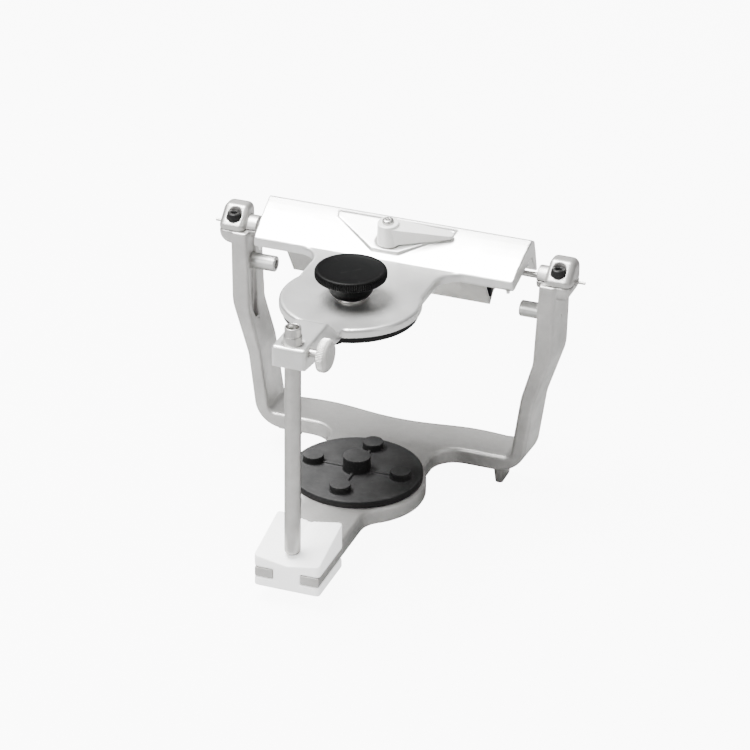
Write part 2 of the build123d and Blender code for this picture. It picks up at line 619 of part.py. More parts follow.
# ---------------------------------------------------------------- upper frame
ridge = (AXIS_Y + 1.6, AXIS_Z + 17.9)
wing_edge = (WING_FRONT_Y, UPPER_TOP)
BEAM_INNER = about_axis([(-20.0, 0.3), (1.8, 8.6), (8.8, -2.2)])
with BuildPart() as upper_frame:
    # plate carrier with its neck
    with BuildSketch(Plane.XY.offset(UPPER_UNDER)) as upper_plan:
        with BuildLine():
            Polyline(
                (0, WING_FRONT_Y + 3.6),
                (62, WING_FRONT_Y + 3.6),
                (62, WING_FRONT_Y),
                (UPPER_NECK_HALF, WING_FRONT_Y),
                (UPPER_NECK_HALF, UPPER_PLATE_Y),
                (0, UPPER_PLATE_Y),
                close=True,
            )
        make_face()
        with BuildLine():
            CenterArc((0, UPPER_PLATE_Y), CARRIER_R, -90, 180)
            Line((0, UPPER_PLATE_Y + CARRIER_R), (0, UPPER_PLATE_Y - CARRIER_R))
        make_face()
        neck_corner = upper_plan.vertices().sort_by_distance((UPPER_NECK_HALF, WING_FRONT_Y, UPPER_UNDER))[0]
        fillet(neck_corner, 12)
    extrude(amount=UPPER_T)
    rim = upper_frame.edges().filter_by(
        lambda e: abs(e.center().Z - UPPER_TOP) < 0.01
        and e.center().X > 0.5
        and e.center().Y < WING_FRONT_Y + 0.5
    )
    fillet(rim, 1.6)
    # beam: a roof with a sloping front wing and a steep back wall, open below
    with BuildSketch(Plane.YZ) as beam_section:
        with BuildLine():
            ThreePointArc(wing_edge, (AXIS_Y - 10.8, AXIS_Z + 12.7), ridge)
            Polyline(ridge, *about_axis([(5.6, 15.6), (10.2, -2.2)]), BEAM_INNER[2], BEAM_INNER[1])
            Polyline(BEAM_INNER[1], BEAM_INNER[0], (WING_FRONT_Y, BEAM_INNER[0][1]), wing_edge)
        make_face()
        fillet(beam_section.vertices().sort_by_distance((0, *ridge))[0], 1.8)
        fillet(beam_section.vertices().sort_by_distance((0, AXIS_Y + 5.6, AXIS_Z + 15.6))[0], 2.4)
        fillet(beam_section.vertices().sort_by_distance((0, *BEAM_INNER[1]))[0], 2.0)
        fillet(beam_section.vertices().sort_by_distance((0, *wing_edge))[0], 1.2)
    extrude(amount=BEAM_HALF_BACK + 1)
    # the end face slants in slightly towards the front
    end_slope = (BEAM_HALF_BACK - BEAM_HALF_FRONT) / (AXIS_Y + 2.4 - WING_FRONT_Y)
    split(
        bisect_by=Plane(origin=(BEAM_HALF_FRONT, WING_FRONT_Y, 0), z_dir=(1, -end_slope, 0)),
        keep=Keep.BOTTOM,
    )
    # pin block and the arm that carries it
    with BuildSketch(Plane.YZ):
        with BuildLine():
            Polyline(
                (BLOCK_FRONT_Y, BLOCK_TOP - 10.8),
                (BLOCK_FRONT_Y, BLOCK_TOP),
                (BLOCK_FRONT_Y + 30.0, BLOCK_TOP),
                (BLOCK_FRONT_Y + 45.0, UPPER_TOP),
                (UPPER_PLATE_Y - 20.0, UPPER_TOP),
                (UPPER_PLATE_Y - 20.0, UPPER_UNDER),
                (UPPER_PLATE_Y - CARRIER_R + 1.0, UPPER_UNDER),
                close=True,
            )
        make_face()
    extrude(amount=BLOCK_HALF)
    # V-shaped pad under the latch lever, just proud of the wing
    with BuildSketch(PAD):
        with BuildLine():
            Polyline((0, 13.8), (31.0, 13.8), (30.2, 10.0), (7.0, -6.8), (0, -6.8), close=True)
        make_face()
    extrude(amount=-6.0)
    # bosses for the channel screws
    with BuildSketch(Plane.XY.offset(CHANNEL_FLOOR + CHANNEL_WALL)):
        with Locations(CHANNEL_SCREW):
            Circle(3.5)
    extrude(amount=AXIS_Z + 12.0 - CHANNEL_FLOOR - CHANNEL_WALL)
    with BuildSketch(Plane.XY.offset(CHANNEL_FLOOR)):
        with Locations(CHANNEL_SCREW):
            Circle(1.5)
    extrude(amount=14.0, mode=Mode.SUBTRACT)
    # ejector nub under the wing's end
    with BuildSketch(Plane.XY.offset(AXIS_Z - 1.6)):
        with Locations((65.5, WING_FRONT_Y + 1.8)):
            Circle(1.0)
    extrude(amount=2.4)
    mirror(about=Plane.YZ)
    block_edges = upper_frame.edges().filter_by(
        lambda e: e.center().Y < BLOCK_FRONT_Y + 31 and e.center().Z > BLOCK_TOP - 10
    )
    fillet(block_edges, 1.4)
    # bores: knob stud, plate dowels, incisal pin, its thumb screw and the latch spindle
    with Locations((0, UPPER_PLATE_Y, UPPER_TOP)):
        Hole(STUD_R + 0.3)
    with BuildSketch(Plane.XY.offset(UPPER_UNDER)):
        with Locations((0, UPPER_PLATE_Y)):
            with PolarLocations(DOWEL_PITCH_R, 2, 45):
                Circle(DOWEL_R)
    extrude(amount=DOWEL_DEPTH, mode=Mode.SUBTRACT)
    with BuildSketch(Plane.XY.offset(BLOCK_TOP - 15)):
        with Locations((0, PIN_Y)):
            Circle(PIN_R + RUNNING)
    extrude(amount=20, mode=Mode.SUBTRACT)
    with BuildSketch(Plane.XY.offset(BLOCK_TOP - COLLAR_DEPTH)):
        with Locations((0, PIN_Y)):
            Circle(COLLAR_R)
    extrude(amount=COLLAR_DEPTH, mode=Mode.SUBTRACT)
    with BuildSketch(yz_plane(0)):
        with Locations((PIN_Y, PIN_SCREW_Z)):
            Circle(PIN_SCREW_R)
    extrude(amount=BLOCK_HALF + 1, mode=Mode.SUBTRACT)
    with BuildSketch(SEAT.offset(-30)):
        Circle(SPINDLE_R + RUNNING)
    extrude(amount=31, mode=Mode.SUBTRACT)
    with BuildSketch(SEAT.offset(-30)):
        Circle(6.2)
    extrude(amount=17.2, mode=Mode.SUBTRACT)
    with BuildSketch(SEAT.offset(SPOT_FACE)):
        Circle(SPOT_FACE_R)
    extrude(amount=12.0, mode=Mode.SUBTRACT)
save(upper_frame, "upper_frame")

# ---------------------------------------------------------------- channel under the beam
CHANNEL_OUTER = about_axis([(-20.2, 1.0), (-9.5, -15.7), (-4.2, -10.4), (7.6, -10.0), (10.2, -2.2), (4.0, 4.0)])
with BuildPart() as condyle_channel:
    with BuildSketch(Plane.YZ) as channel_section:
        with BuildLine():
            Polyline(*CHANNEL_OUTER, close=True)
        make_face()
        offset(amount=-CHANNEL_WALL, mode=Mode.SUBTRACT, kind=Kind.INTERSECTION)
        with BuildLine():
            Polyline(*about_axis([(-19.0, 2.4), (-16.0, 0.0), (6.6, -4.0), (12.0, 6.0), (0, 12.0)]), close=True)
        make_face(mode=Mode.SUBTRACT)
    extrude(amount=CHANNEL_HALF, both=True)
    add(upper_frame.part, mode=Mode.SUBTRACT)
    # window for the latch bar's yoke
    with BuildSketch(SEAT.offset(LATCH_TOP + 2.4)):
        with Locations((0, -7.0)):
            Rectangle(22.0, 8.0)
    extrude(amount=-(LATCH_T + 3.4), mode=Mode.SUBTRACT)
    with Locations(*[(side * CHANNEL_SCREW[0], CHANNEL_SCREW[1], CHANNEL_FLOOR) for side in (1, -1)]):
        Cylinder(1.6, 6.0, mode=Mode.SUBTRACT)
        Cylinder(2.85, 4.0, align=(Align.CENTER, Align.CENTER, Align.MAX), mode=Mode.SUBTRACT)
save(condyle_channel, "condyle_channel")

with BuildPart() as channel_screws:
    with BuildSketch(Plane.XY.offset(CHANNEL_FLOOR)):
        with Locations(CHANNEL_SCREW):
            Circle(1.5)
    extrude(amount=12.0)
    with BuildSketch(Plane.XY.offset(CHANNEL_FLOOR)):
        with Locations(CHANNEL_SCREW):
            Circle(2.8)
    extrude(amount=-2.4)
    fillet(channel_screws.edges().group_by(Axis.Z)[0], 0.9)
    mirror(about=Plane.YZ)
save(channel_screws, "channel_screws")

# ---------------------------------------------------------------- fossa inserts
path_y = math.cos(math.radians(PATH_DEG))
path_z = math.sin(math.radians(PATH_DEG))
with BuildPart() as fossa_insert:
    with BuildSketch(yz_plane(INSERT_IN)) as fossa_section:
        with BuildLine():
            Polyline(*CHANNEL_OUTER, close=True)
        make_face()
        offset(amount=-CHANNEL_WALL, mode=Mode.REPLACE, kind=Kind.INTERSECTION)
        with BuildLine():
            Polyline(*about_axis([(-8.0, -14.0), (-8.0, 5.0), (-5.0, 6.9), (4.4, 7.5), (7.0, 2.0), (7.0, -14.0)]), close=True)
        make_face(mode=Mode.INTERSECT)
    extrude(amount=CHANNEL_HALF - 0.1 - INSERT_IN)
    with BuildSketch(yz_plane(CONDYLE_X - BALL_HALF - 1.6)):
        with Locations(
            (AXIS_Y, AXIS_Z),
            (AXIS_Y - path_y * PROTRUSION, AXIS_Z - path_z * PROTRUSION),
        ):
            Circle(CAVITY_R)
        make_hull()
    extrude(amount=20.0, mode=Mode.SUBTRACT)
    # room for the latch bar, from its released to its locked place
    with BuildSketch(SEAT.offset(LATCH_TOP + 0.4)):
        with Locations((CONDYLE_X, -1.0)):
            Rectangle(40.0, 17.0)
    extrude(amount=-(LATCH_T + 1.8), mode=Mode.SUBTRACT)
save_pair(fossa_insert, "fossa_insert")

# ---------------------------------------------------------------- latch: spindle, bar, lever
with BuildPart() as latch_spindle:
    with BuildSketch(SEAT.offset(LATCH_TOP + 0.2)):
        Circle(CRANK_RADIUS + CRANK_PIN_R + 0.7)
    extrude(amount=1.8)
    with BuildSketch(SEAT.offset(LATCH_TOP + 2.0)):
        Circle(SPINDLE_R)
    extrude(amount=LEVER_FOOT + 4.0 - LATCH_TOP - 2.0)
    with BuildSketch(SEAT.offset(LEVER_FOOT + 4.0)):
        Circle(1.5)
    extrude(amount=-9.0, mode=Mode.SUBTRACT)
    with BuildSketch(SEAT.offset(LATCH_TOP - LATCH_T - 0.2)):
        with Locations((-CRANK_OFFSET, -CRANK_OFFSET)):
            Circle(CRANK_PIN_R)
    extrude(amount=LATCH_T + 0.4)
save(latch_spindle, "latch_spindle")

condyle_local = SEAT.to_local_coords(Vector(0, AXIS_Y, AXIS_Z))
LATCH_STROKE = 2 * CRANK_OFFSET
BAR_BACK = condyle_local.Y - BALL_R - 0.3 - LATCH_STROKE  # back edge when released
with BuildPart() as latch_bar:
    with BuildSketch(SEAT.offset(LATCH_TOP)):
        with Locations((0, BAR_BACK - 2.0)):
            Rectangle(2 * CONDYLE_X + 8.0, 4.0)
        with Locations((0, (BAR_BACK - CRANK_OFFSET - 3.4) / 2)):
            RectangleRounded(20.0, BAR_BACK + CRANK_OFFSET + 3.4, 1.5)
        with Locations((-(CRANK_RADIUS + CRANK_OFFSET) / 2, -CRANK_OFFSET)):
            Rectangle(
                CRANK_RADIUS - CRANK_OFFSET + 2 * (CRANK_PIN_R + SLOT_PLAY),
                2 * (CRANK_PIN_R + SLOT_PLAY),
                mode=Mode.SUBTRACT,
            )
    extrude(amount=-LATCH_T)
save(latch_bar, "latch_bar")

with BuildPart() as lever_washer:
    with BuildSketch(SEAT.offset(SPOT_FACE)):
        Circle(5.4)
        Circle(SPINDLE_R + 0.1, mode=Mode.SUBTRACT)
    extrude(amount=0.4)
save(lever_washer, "lever_washer")

with BuildPart() as latch_lever:
    # handle, shaped to lie just clear of the pad
    tip = (
        LEVER_LENGTH * math.cos(math.radians(LEVER_ANGLE)),
        LEVER_LENGTH * math.sin(math.radians(LEVER_ANGLE)),
    )
    with BuildSketch(SEAT.offset(-3.4)):
        Circle(5.3)
        with Locations(tip):
            Circle(2.5)
        make_hull()
    extrude(amount=LEVER_TOP + 3.4)
    handle_top = Plane(
        origin=SEAT.from_local_coords(Vector(0, 0, LEVER_TOP - 0.6)),
        x_dir=SEAT.x_dir,
        z_dir=SEAT.z_dir,
    ).rotated((0, 0, LEVER_ANGLE)).rotated((0, 8.5, 0))
    with BuildSketch(handle_top):
        with Locations((22.0, 0)):
            Rectangle(44.0, 30.0)
    extrude(amount=20.0, mode=Mode.SUBTRACT)
    with BuildSketch(PAD.offset(0.6)):
        with Locations((20.0, 0)):
            Rectangle(80.0, 60.0)
    extrude(amount=-20.0, mode=Mode.SUBTRACT)
    # hub
    with BuildSketch(SEAT.offset(HUB_FOOT)):
        Circle(LEVER_HUB_R)
    extrude(amount=LEVER_TOP - HUB_FOOT, taper=4)
    with BuildSketch(SEAT.offset(HUB_FOOT)):
        Circle(SPINDLE_R)
    extrude(amount=LEVER_FOOT + 4.0 - HUB_FOOT, mode=Mode.SUBTRACT)
    with BuildSketch(SEAT.offset(LEVER_FOOT)):
        Circle(1.6)
    extrude(amount=12.0, mode=Mode.SUBTRACT)
save(latch_lever, "latch_lever")

with BuildPart() as lever_screw:
    with BuildSketch(SEAT.offset(LEVER_FOOT - 3.5)):
        Circle(1.5)
    extrude(amount=LEVER_TOP - LEVER_FOOT + 3.5)
    with BuildSketch(SEAT.offset(LEVER_TOP)):
        Circle(2.9)
    extrude(amount=2.0)
    fillet(lever_screw.edges().group_by(SortBy.LENGTH)[-1].sort_by_distance(SEAT.offset(20).origin)[0], 1.3)
    with BuildSketch(SEAT.offset(LEVER_TOP + 2.0)):
        Rectangle(3.0, 0.7)
        Rectangle(0.7, 3.0)
    extrude(amount=-1.2, mode=Mode.SUBTRACT)
save(lever_screw, "lever_screw")

# ---------------------------------------------------------------- incisal pin
with BuildPart() as incisal_pin:
    with BuildSketch(Plane.XY.offset(PIN_TIP_Z)):
        with Locations((0, PIN_Y)):
            Circle(PIN_R)
    extrude(amount=PIN_TOP_Z - PIN_TIP_Z)
    fillet(incisal_pin.edges().group_by(Axis.Z)[0], 2.2)
    with BuildSketch(Plane.XY.offset(PIN_TOP_Z)):
        with Locations((0, PIN_Y)):
            Circle(PIN_R - 0.9)
    extrude(amount=-4.0, mode=Mode.SUBTRACT)
    with BuildSketch(Plane.XY.offset(PIN_TOP_Z - 4.0)):
        with Locations((0, PIN_Y)):
            Rectangle(1.2, 4.6)
    extrude(amount=2.6)
save(incisal_pin, "incisal_pin")

with BuildPart() as pin_collar:
    with BuildSketch(xz_plane(PIN_Y)):
        with BuildLine():
            Polyline(
                (PIN_R + RUNNING, BLOCK_TOP - COLLAR_DEPTH),
                (COLLAR_R, BLOCK_TOP - COLLAR_DEPTH),
                (COLLAR_R, BLOCK_TOP + 0.6),
                (PIN_R + 0.35, BLOCK_TOP + 4.2),
                (PIN_R + RUNNING, BLOCK_TOP + 4.2),
                close=True,
            )
        make_face()
    revolve(axis=Axis((0, PIN_Y, 0), (0, 0, 1)))
save(pin_collar, "pin_collar")

with BuildPart() as pin_screw_shank:
    with BuildSketch(yz_plane(PIN_R + 0.05)):
        with Locations((PIN_Y, PIN_SCREW_Z)):
            Circle(PIN_SCREW_R - 0.05)
    extrude(amount=PIN_SCREW_HEAD_X + 4.0 - PIN_R - 0.05)
save(pin_screw_shank, "pin_screw_shank")

with BuildPart() as pin_screw_head:
    with BuildSketch(yz_plane(PIN_SCREW_HEAD_X)):
        with Locations((PIN_Y, PIN_SCREW_Z)):
            Circle(8.2)
    extrude(amount=5.6)
    fillet(pin_screw_head.edges().group_by(Axis.X)[-1], 1.8)
    fillet(pin_screw_head.edges().group_by(Axis.X)[0], 0.8)
    with BuildSketch(yz_plane(PIN_SCREW_HEAD_X)):
        with Locations((PIN_Y, PIN_SCREW_Z)):
            Circle(PIN_SCREW_R - 0.05)
    extrude(amount=4.0, mode=Mode.SUBTRACT)
save(pin_screw_head, "pin_screw_head")
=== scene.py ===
import json
import math

import bmesh
import bpy
from mathutils import Matrix, Vector


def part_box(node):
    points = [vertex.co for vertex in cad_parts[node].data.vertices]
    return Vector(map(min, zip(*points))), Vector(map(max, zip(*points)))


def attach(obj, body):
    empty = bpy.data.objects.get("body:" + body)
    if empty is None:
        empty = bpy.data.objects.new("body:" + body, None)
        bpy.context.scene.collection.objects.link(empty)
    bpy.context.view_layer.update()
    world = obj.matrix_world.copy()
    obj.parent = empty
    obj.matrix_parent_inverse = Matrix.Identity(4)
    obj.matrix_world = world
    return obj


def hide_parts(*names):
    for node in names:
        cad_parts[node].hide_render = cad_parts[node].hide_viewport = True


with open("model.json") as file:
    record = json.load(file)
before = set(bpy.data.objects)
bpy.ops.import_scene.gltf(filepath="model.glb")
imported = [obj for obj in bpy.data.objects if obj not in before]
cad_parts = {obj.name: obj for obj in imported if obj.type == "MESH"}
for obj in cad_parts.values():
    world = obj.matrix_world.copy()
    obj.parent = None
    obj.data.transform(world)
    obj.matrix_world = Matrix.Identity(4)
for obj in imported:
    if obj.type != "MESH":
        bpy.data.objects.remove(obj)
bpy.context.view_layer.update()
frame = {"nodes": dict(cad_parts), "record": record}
NODES = frame["nodes"]
BODY_OF = {n: b for b, ns in frame["record"]["behaviour"]["bodies"].items() for n in ns}
SLOT_OF = {s["node"]: s["material_slot"] for s in frame["record"]["subparts"]}

TURNED_UPRIGHT = (60.0, 60.0, 9000.0)  # noise stretch that makes tool marks round a Z axis
TURNED_ACROSS = (9000.0, 60.0, 60.0)  # the same round an X axis
DUST_COLOUR = (0.42, 0.41, 0.40)
FLOOR_SEEN = 9.0  # emission of the floor and the backdrop, towards the camera alone
BACKDROP_SEEN = 12.0


# ------------------------------------------------------------------ materials
def new_material(name):
    mat = bpy.data.materials.new(name)
    mat.use_nodes = True
    tree = mat.node_tree
    shader = tree.nodes["Principled BSDF"]
    coords = tree.nodes.new("ShaderNodeTexCoord")
    return mat, tree, shader, coords.outputs["Object"]


def grey(value):
    return (value, value, value)


def scaled(colour, factor):
    return tuple(c * factor for c in colour)


def noise(tree, coords, scale, detail=4.0, rough=0.55, stretch=None):
    node = tree.nodes.new("ShaderNodeTexNoise")
    node.inputs["Scale"].default_value = scale
    node.inputs["Detail"].default_value = detail
    node.inputs["Roughness"].default_value = rough
    source = coords
    if stretch:
        mapping = tree.nodes.new("ShaderNodeMapping")
        mapping.inputs["Scale"].default_value = stretch
        tree.links.new(coords, mapping.inputs["Vector"])
        source = mapping.outputs["Vector"]
    tree.links.new(source, node.inputs["Vector"])
    return node.outputs["Fac"]


def ramp(tree, value, stops):
    node = tree.nodes.new("ShaderNodeValToRGB")
    elements = node.color_ramp.elements
    while len(elements) < len(stops):
        elements.new(0.5)
    for element, (place, colour) in zip(elements, stops):
        element.position = place
        element.color = (*colour, 1.0)
    tree.links.new(value, node.inputs["Fac"])
    return node.outputs["Color"]


def span(tree, value, low, high, out_low, out_high):
    node = tree.nodes.new("ShaderNodeMapRange")
    node.inputs["From Min"].default_value = low
    node.inputs["From Max"].default_value = high
    node.inputs["To Min"].default_value = out_low
    node.inputs["To Max"].default_value = out_high
    tree.links.new(value, node.inputs["Value"])
    return node.outputs["Result"]


def mix(tree, factor, a, b):
    node = tree.nodes.new("ShaderNodeMix")
    node.data_type = "RGBA"
    for socket, value in ((node.inputs["Factor"], factor), (node.inputs["A"], a), (node.inputs["B"], b)):
        if isinstance(value, (int, float)):
            socket.default_value = value
        elif isinstance(value, tuple):
            socket.default_value = (*value, 1.0)
        else:
            tree.links.new(value, socket)
    return node.outputs["Result"]


def bump(tree, shader, height, strength, distance):
    node = tree.nodes.new("ShaderNodeBump")
    node.inputs["Strength"].default_value = strength
    node.inputs["Distance"].default_value = distance
    tree.links.new(height, node.inputs["Height"])
    tree.links.new(node.outputs["Normal"], shader.inputs["Normal"])


def edges(tree, low, high):
    """1 on outside edges, 0 elsewhere, from the surface's own curvature; used for wear, and in cast metal
    also for painted highlight.
    """
    geometry = tree.nodes.new("ShaderNodeNewGeometry")
    return span(tree, geometry.outputs["Pointiness"], low, high, 0.0, 1.0)


def camera_only(tree, value):
    """The value for rays from the camera, 0 for every other ray."""
    path = tree.nodes.new("ShaderNodeLightPath")
    return span(tree, path.outputs["Is Camera Ray"], 0.0, 1.0, 0.0, value)


def cast_metal(name, colour, dark, metallic, rough=(0.38, 0.52), grain=2600.0, depth=0.00006):
    """Cast, blasted and lightly polished aluminium: fine grain, cloudy tone, and bright edges that are
    partly wear and partly painted highlight.
    """
    mat, tree, shader, at = new_material(name)
    cloudy = noise(tree, at, 55.0, 5.0, 0.6)
    fine = noise(tree, at, grain, 3.0, 0.7)
    tone = mix(tree, span(tree, cloudy, 0.35, 0.68, 0.0, 1.0), dark, colour)
    speck = ramp(tree, fine, [(0.30, grey(0.90)), (0.62, grey(1.0))])
    product = tree.nodes.new("ShaderNodeMix")
    product.data_type = "RGBA"
    product.blend_type = "MULTIPLY"
    product.inputs["Factor"].default_value = 0.8
    tree.links.new(tone, product.inputs["A"])
    tree.links.new(speck, product.inputs["B"])
    # Painted highlight and wear: outside edges are lightened, partly as real wear and partly standing in
    # for the highlights that edges catch.
    bright = tuple(min(1.0, c * 1.10) for c in colour)
    wear_and_highlight = mix(tree, edges(tree, 0.53, 0.62), product.outputs["Result"], bright)
    tree.links.new(wear_and_highlight, shader.inputs["Base Color"])
    shader.inputs["Metallic"].default_value = metallic
    tree.links.new(span(tree, cloudy, 0.3, 0.7, rough[1], rough[0]), shader.inputs["Roughness"])
    bump(tree, shader, fine, 0.5, depth)
    return mat


def turned_metal(name, colour, rough, metallic=1.0, stretch=TURNED_UPRIGHT, strength=0.25):
    """Turned bright metal: fine tool marks, faint handling smears, and painted shade that darkens the
    outlines where the surface is seen edge-on.
    """
    mat, tree, shader, at = new_material(name)
    marks = noise(tree, at, 1.0, 2.0, 0.5, stretch)
    smear = noise(tree, at, 90.0, 4.0, 0.6)
    tone = mix(tree, span(tree, smear, 0.35, 0.7, 0.0, 1.0), scaled(colour, 0.88), colour)
    # Painted shade: the colour darkens towards the outlines, where the surface is seen edge-on, standing in
    # for darker reflections there.
    grazing_weight = tree.nodes.new("ShaderNodeLayerWeight")
    grazing_weight.inputs["Blend"].default_value = 0.5
    grazing_shade = span(tree, grazing_weight.outputs["Facing"], 0.15, 1.0, 0.0, 0.7)
    tone = mix(tree, grazing_shade, tone, scaled(colour, 0.35))
    tree.links.new(tone, shader.inputs["Base Color"])
    shader.inputs["Metallic"].default_value = metallic
    tree.links.new(span(tree, smear, 0.3, 0.7, rough + 0.10, rough), shader.inputs["Roughness"])
    bump(tree, shader, marks, strength, 0.00004)
    return mat


def upright_faces(tree, amount):
    """The given amount on faces that stand upright, 0 on faces that look up; used for painted shade."""
    geometry = tree.nodes.new("ShaderNodeNewGeometry")
    normal = tree.nodes.new("ShaderNodeSeparateXYZ")
    tree.links.new(geometry.outputs["Normal"], normal.inputs["Vector"])
    return span(tree, normal.outputs["Z"], 0.35, 0.9, amount, 0.0)


def plastic(
    name, colour, light, rough, grain, depth, dust=0.0, subsurface=0.0, shine=0.3, glow=0.0, side=0.0
):
    """Moulded plastic: mould grain, rubbed edges, and by choice dust, painted shade on upright faces and a
    glow.
    """
    mat, tree, shader, at = new_material(name)
    cloudy = noise(tree, at, 70.0, 4.0, 0.6)
    fine = noise(tree, at, grain, 3.0, 0.6)
    tone = mix(tree, span(tree, cloudy, 0.35, 0.7, 0.0, 1.0), colour, light)
    if side:
        # Painted shade: upright faces are darkened, as if less lit than the faces that look up.
        tone = mix(tree, upright_faces(tree, side), tone, scaled(colour, 0.2))
    edge = tuple(min(1.0, c * 1.5 + 0.008) for c in light)
    rubbed = mix(tree, edges(tree, 0.54, 0.64), tone, edge)
    if dust:
        specks = span(tree, noise(tree, at, 420.0, 6.0, 0.75), 0.62, 0.74, 0.0, dust)
        rubbed = mix(tree, specks, rubbed, DUST_COLOUR)
    tree.links.new(rubbed, shader.inputs["Base Color"])
    tree.links.new(span(tree, cloudy, 0.3, 0.7, rough + 0.08, rough), shader.inputs["Roughness"])
    shader.inputs["Specular IOR Level"].default_value = shine
    if glow:
        # Painted light: the piece glows towards the camera alone, though it is no lamp.
        shader.inputs["Emission Color"].default_value = (1.0, 1.0, 1.0, 1.0)
        tree.links.new(camera_only(tree, glow), shader.inputs["Emission Strength"])
    if subsurface:
        shader.inputs["Subsurface Weight"].default_value = subsurface
        shader.inputs["Subsurface Radius"].default_value = (0.004, 0.0038, 0.0035)
        shader.inputs["Subsurface Scale"].default_value = 1.0
    bump(tree, shader, fine, 0.4, depth)
    return mat


MATERIALS = {
    "cast_frame": cast_metal("cast_frame", (0.64, 0.632, 0.615), (0.52, 0.513, 0.50), metallic=0.93),
    "cast_beam": cast_metal(
        "cast_beam", (0.87, 0.868, 0.855), (0.79, 0.788, 0.775), metallic=0.92, rough=(0.33, 0.43)
    ),
    "channel_metal": cast_metal(
        "channel_metal", (0.60, 0.595, 0.58), (0.50, 0.495, 0.48), metallic=0.92, rough=(0.36, 0.5)
    ),
    # black_plate: painted shade darkens its upright faces.
    "black_plate": plastic(
        "black_plate", grey(0.034), grey(0.056), 0.5, 1900.0, 0.00005, dust=0.12, shine=0.12, side=0.85
    ),
    "black_knob": plastic("black_knob", grey(0.0012), grey(0.002), 0.46, 2600.0, 0.00002, shine=0.09),
    "black_screw": plastic("black_screw", grey(0.004), grey(0.009), 0.38, 3000.0, 0.00002),
    # white_table: a painted glow towards the camera makes it read whiter.
    "white_table": plastic(
        "white_table", (0.90, 0.90, 0.89), (0.94, 0.94, 0.935), 0.34, 1500.0, 0.00002,
        subsurface=0.25, shine=0.4, glow=1.1,
    ),
    "knurled_thumb_screw": turned_metal(
        "knurled_thumb_screw", (0.86, 0.85, 0.82), 0.34, 0.45, TURNED_ACROSS
    ),
    "lever_metal": cast_metal(
        "lever_metal", (0.95, 0.945, 0.925), (0.88, 0.875, 0.855),
        metallic=0.2, rough=(0.28, 0.40), grain=1800.0, depth=0.00002,
    ),
    "black_insert": plastic("black_insert", grey(0.008), grey(0.014), 0.55, 1500.0, 0.00002),
    "sleeve_metal": turned_metal("sleeve_metal", (0.78, 0.78, 0.76), 0.34, 0.7, TURNED_ACROSS),
    "insert_brass": turned_metal("insert_brass", (0.72, 0.56, 0.28), 0.35),
    "bright_steel": turned_metal("bright_steel", (0.60, 0.592, 0.575), 0.34, strength=0.06),
}


# ------------------------------------------------------------------ mesh helpers
def dress(obj, node):
    """Give a piece the finish and the body of the CAD node it stands for."""
    obj.data.materials.clear()
    obj.data.materials.append(MATERIALS[SLOT_OF[node]])
    for polygon in obj.data.polygons:
        polygon.use_smooth = True
    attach(obj, BODY_OF[node])
    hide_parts(node)


def link(name, mesh):
    obj = bpy.data.objects.new(name, mesh)
    bpy.context.scene.collection.objects.link(obj)
    return obj


def apply_modifiers(obj):
    bpy.context.view_layer.update()
    depsgraph = bpy.context.evaluated_depsgraph_get()
    mesh = bpy.data.meshes.new_from_object(obj.evaluated_get(depsgraph))
    obj.modifiers.clear()
    old = obj.data
    obj.data = mesh
    bpy.data.meshes.remove(old)


def soften(node, voxel, rounds):
    """A cast or moulded version of a CAD node: one remeshed skin (voxels in mm) with softened edges."""
    obj = link(f"{node}_skin", NODES[node].data.copy())
    remesh = obj.modifiers.new("skin", "REMESH")
    remesh.mode = "VOXEL"
    remesh.voxel_size = voxel / 1000.0
    remesh.use_smooth_shade = True
    relax = obj.modifiers.new("relax", "SMOOTH")
    relax.factor = 0.5
    relax.iterations = rounds
    apply_modifiers(obj)
    dress(obj, node)


def flat_hex(angle):
    """Radius factor that turns a circle into a hexagon of that across-flats size."""
    return 1.0 / math.cos((angle + math.pi / 6) % (math.pi / 3) - math.pi / 6)


def lathe(name, rings, centre, axis="Z", teeth=0, segments=96):
    """Turn a profile and close both ends. A ring is (radius, height, knurl depth or "hex"), in mm."""
    per_tooth = 6
    tooth_shape = 1.4
    count = teeth * per_tooth if teeth else segments
    mesh = bpy.data.meshes.new(name)
    bm = bmesh.new()
    loops = []
    for radius, height, extra in rings:
        loop = []
        for i in range(count):
            angle = 2 * math.pi * i / count
            r = radius
            if extra == "hex":
                r = radius * flat_hex(angle)
            elif extra:
                phase = (i % per_tooth) / per_tooth
                r = radius - extra * abs(2 * phase - 1) ** tooth_shape
            x, y, z = r * math.cos(angle), r * math.sin(angle), height
            if axis == "X":
                x, y, z = z, x, y
            place = (centre[0] + x / 1000, centre[1] + y / 1000, centre[2] + z / 1000)
            loop.append(bm.verts.new(place))
        loops.append(loop)
    for low, high in zip(loops, loops[1:]):
        for i in range(count):
            j = (i + 1) % count
            bm.faces.new((low[i], low[j], high[j], high[i]))
    bm.faces.new(list(reversed(loops[0])))
    bm.faces.new(loops[-1])
    bmesh.ops.recalc_face_normals(bm, faces=bm.faces)
    bm.to_mesh(mesh)
    bm.free()
    return link(name, mesh)


def rounded(points, radius, steps=3):
    """Round the corners of an open (radius, height) profile."""
    out = [points[0]]
    for before, corner, after in zip(points, points[1:], points[2:]):
        b, c, a = Vector(before[:2]), Vector(corner[:2]), Vector(after[:2])
        reach = min(radius, (b - c).length * 0.45, (a - c).length * 0.45)
        start, end = c + (b - c).normalized() * reach, c + (a - c).normalized() * reach
        for k in range(steps + 1):
            t = k / steps
            p = start * (1 - t) ** 2 + c * 2 * t * (1 - t) + end * t**2
            out.append((p.x, p.y, corner[2]))
    out.append(points[-1])
    return out


